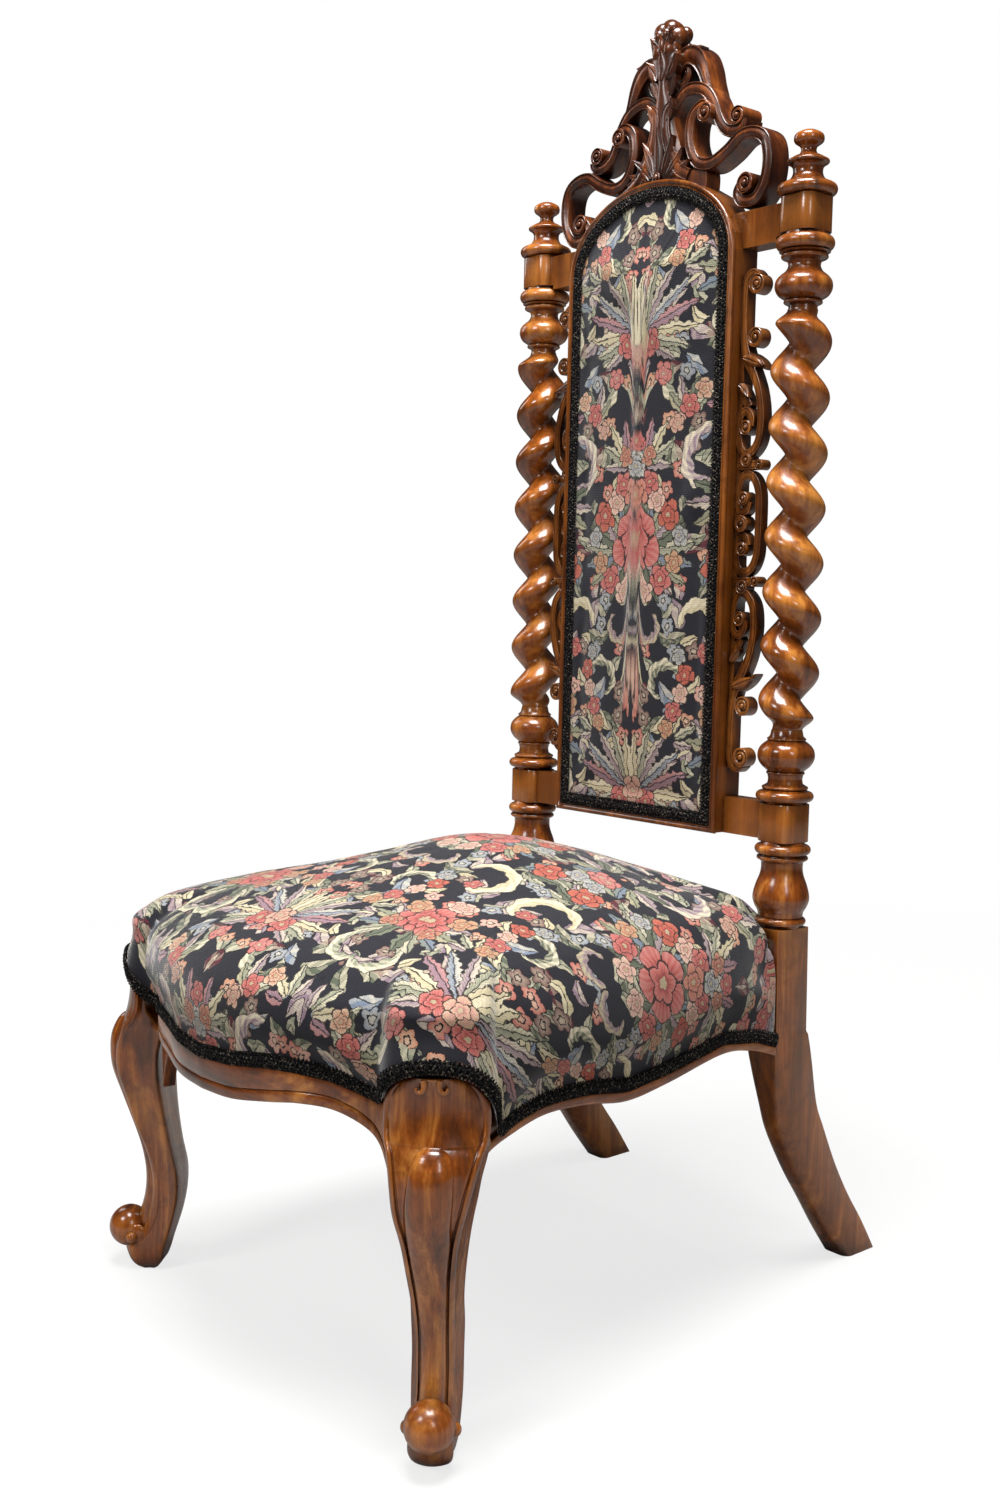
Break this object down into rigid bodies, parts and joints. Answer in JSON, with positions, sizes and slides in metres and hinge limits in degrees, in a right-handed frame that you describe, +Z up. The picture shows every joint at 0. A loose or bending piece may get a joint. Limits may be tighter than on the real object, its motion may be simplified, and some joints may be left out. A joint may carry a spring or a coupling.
{
  "type": "barley twist side chair",
  "caption": "Upholstered side chair with tall twisted back posts, pierced carved crest and brackets, arched padded panel, domed seat with braid and cabriole front legs",
  "frame": {"origin": "On the floor under the middle of the chair's bounding box, so that the four feet stand on z = 0.", "axes": "+Z is up. The sitter looks along -Y: the front legs are at -Y and the back posts at +Y. +X is to the sitter's left."},
  "size_m": [0.509, 0.6208, 1.1508],
  "materials": {
    "walnut": "waxed and polished, worn to a lighter gold on the high spots",
    "dark_walnut": "waxed and polished, darker red brown",
    "beech": "plain sawn, unfinished",
    "tapestry": "jacquard woven flowers and scrolling leaves in coral, cream, sage and mauve on a charcoal ground",
    "gimp_braid": "looped black braid with pale flecks",
    "black_cloth": "thin plain cotton",
    "jute": "coarse plain weave",
    "horsehair": "matted loose fibre",
    "spring_steel": "drawn wire, coppery brown in places"
  },
  "bodies": {
    "root": {"front_leg_right": "walnut", "front_leg_left": "walnut", "rear_leg_right": "walnut", "rear_leg_left": "walnut", "front_seat_rail": "walnut", "side_seat_rail_right": "walnut", "side_seat_rail_left": "walnut", "rear_seat_rail": "walnut", "corner_blocks": "beech", "twist_post_right": "walnut", "twist_post_left": "walnut", "post_finial_right": "walnut", "post_finial_left": "walnut", "lower_back_rail": "walnut", "top_back_rail": "walnut", "panel_stile_right": "walnut", "panel_stile_left": "walnut", "panel_bottom_rail": "walnut", "fret_bracket_right": "walnut", "fret_bracket_left": "walnut", "carved_crest": "dark_walnut", "crest_dowels": "beech", "seat_bottom_cloth": "black_cloth", "seat_webbing": "jute", "seat_springs": "spring_steel", "seat_hessian": "jute", "seat_stuffing": "horsehair", "seat_cover": "tapestry", "seat_gimp": "gimp_braid", "back_webbing": "jute", "back_stuffing": "horsehair", "back_cover": "tapestry", "back_gimp": "gimp_braid", "outside_back_cloth": "black_cloth"}
  },
  "joints": []
}
